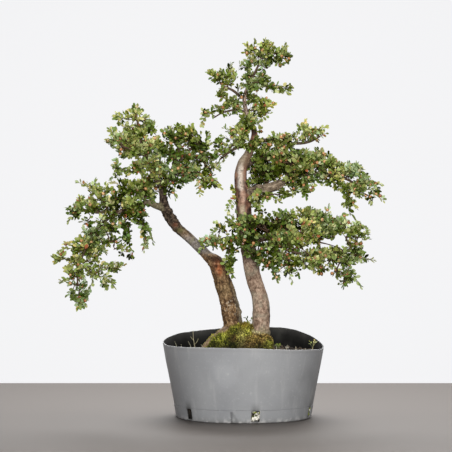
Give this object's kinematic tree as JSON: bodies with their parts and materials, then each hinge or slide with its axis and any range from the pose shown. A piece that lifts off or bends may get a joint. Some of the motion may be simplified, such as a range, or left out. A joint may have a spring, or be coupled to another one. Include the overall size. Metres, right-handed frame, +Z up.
{
  "type": "cotoneaster bonsai in plastic pot",
  "caption": "Twin-trunk small-leaved cotoneaster bonsai with berries, growing from a moss mound in a cut-down grey plastic training pot.",
  "frame": {"origin": "centre of the pot's underside, on the surface it stands on", "axes": "+Z up along the pot's axis, +X towards the tree's right-hand branches, -Y towards the front of the tree"},
  "size_m": [0.5909, 0.2948, 0.6802],
  "materials": {
    "pot_plastic": "satin",
    "pumice": "matte",
    "soil": "matte",
    "moss": "matte",
    "bark": "matte",
    "leaf": "satin",
    "berry": "gloss",
    "dry_weed": "matte"
  },
  "bodies": {
    "root": {"pot": "pot_plastic", "pumice_drainage_layer": "pumice", "soil": "soil", "moss_mound": "moss", "tree_wood": "bark", "leaves_left_crown": "leaf", "leaves_left_lobe": "leaf", "leaves_left_shoulder": "leaf", "leaves_left_outer": "leaf", "leaves_left_cascade": "leaf", "leaves_left_spray": "leaf", "leaves_apex": "leaf", "leaves_apex_left": "leaf", "leaves_apex_middle": "leaf", "leaves_spur_left": "leaf", "leaves_middle_left": "leaf", "leaves_right_upper": "leaf", "leaves_right_middle": "leaf", "leaves_right_back": "leaf", "leaves_right_outer": "leaf", "leaves_right_under": "leaf", "leaves_low_inner": "leaf", "leaves_low_back": "leaf", "leaves_low_arm": "leaf", "leaves_low_outer": "leaf", "berries_left_crown": "berry", "berries_left_lobe": "berry", "berries_left_shoulder": "berry", "berries_left_cascade": "berry", "berries_apex": "berry", "berries_apex_left": "berry", "berries_right_middle": "berry", "berries_right_outer": "berry", "berries_low_inner": "berry", "berries_low_outer": "berry", "weed_tall_left": "dry_weed", "weed_right": "dry_weed"}
  },
  "joints": []
}
